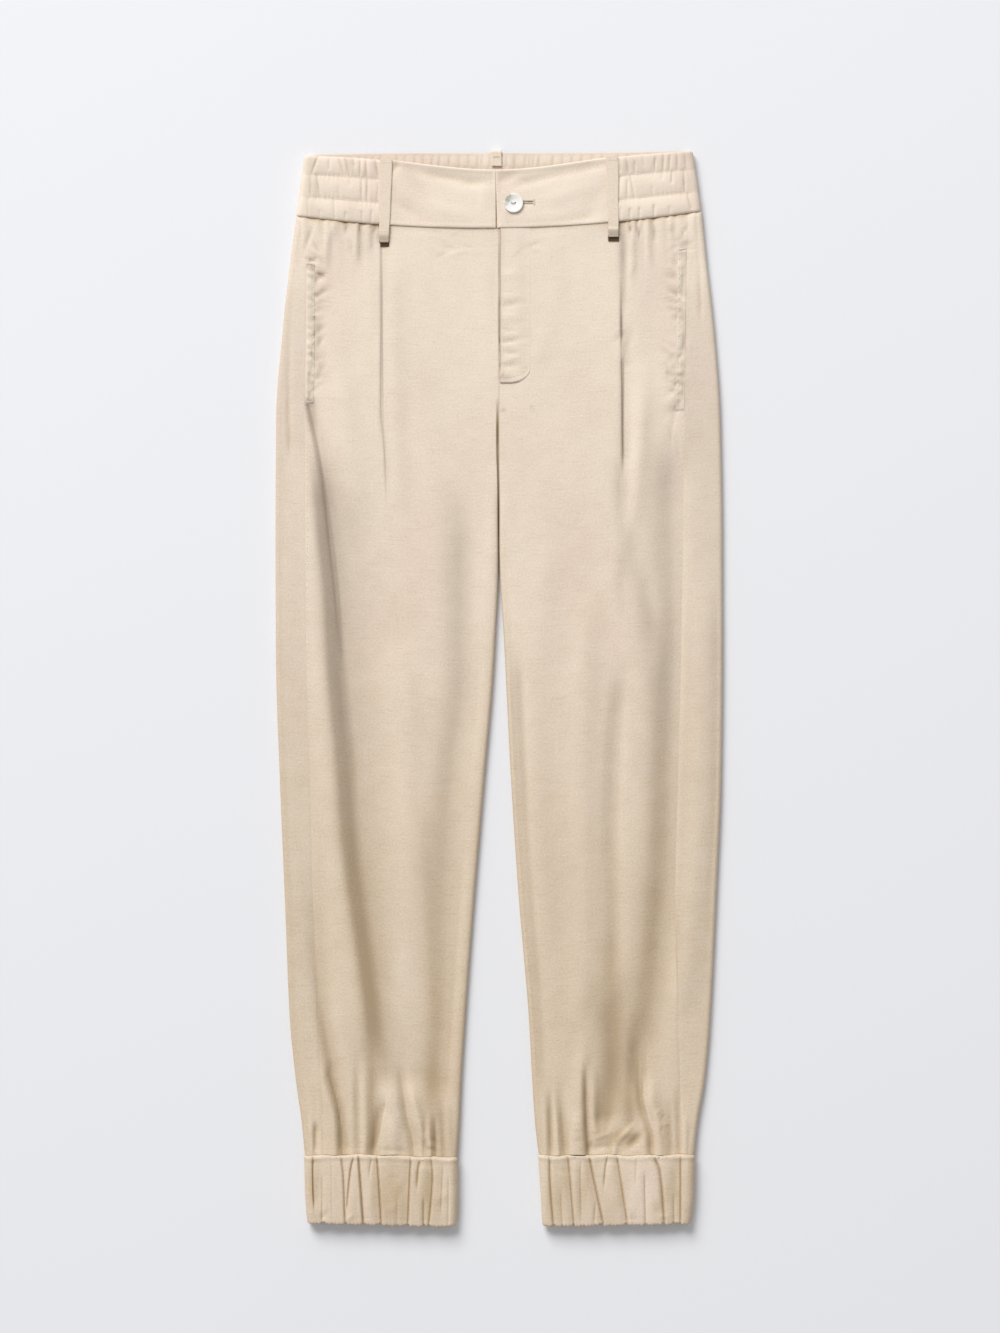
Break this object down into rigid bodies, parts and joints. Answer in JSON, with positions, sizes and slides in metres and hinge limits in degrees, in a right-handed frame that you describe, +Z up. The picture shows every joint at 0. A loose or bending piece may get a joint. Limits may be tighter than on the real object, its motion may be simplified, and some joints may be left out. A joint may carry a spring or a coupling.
{
  "type": "linen trousers with elasticated waist and cuffs, laid flat",
  "caption": "Full-length linen trousers laid flat on their back: part-elasticated waistband, belt loops, fly front, side pockets, front pleats, gathered cuffs.",
  "frame": {"origin": "on the floor under the middle of the garment's outline, where the flat back rests", "axes": "+X to the wearer's left, +Y from the cuffs to the waist, +Z up out of the front of the garment"},
  "size_m": [0.402, 0.968, 0.0137],
  "materials": {
    "linen": "plain-woven beige linen, matt, slightly slubbed",
    "zip_tape": "woven tape dyed to match the cloth",
    "pearl": "polished mother-of-pearl button",
    "thread": "cotton sewing thread"
  },
  "bodies": {
    "root": {"front_panel_right": "linen", "front_panel_left": "linen", "back_panel_right": "linen", "back_panel_left": "linen", "pocket_edge_right": "linen", "pocket_edge_left": "linen", "fly_front": "linen", "waistband_front_right": "linen", "waistband_front_left": "linen", "waistband_back": "linen", "belt_loop_right": "linen", "belt_loop_left": "linen", "belt_loop_back": "linen", "cuff_right": "linen", "cuff_left": "linen", "zip": "zip_tape", "button": "pearl", "button_thread": "thread"}
  },
  "joints": []
}
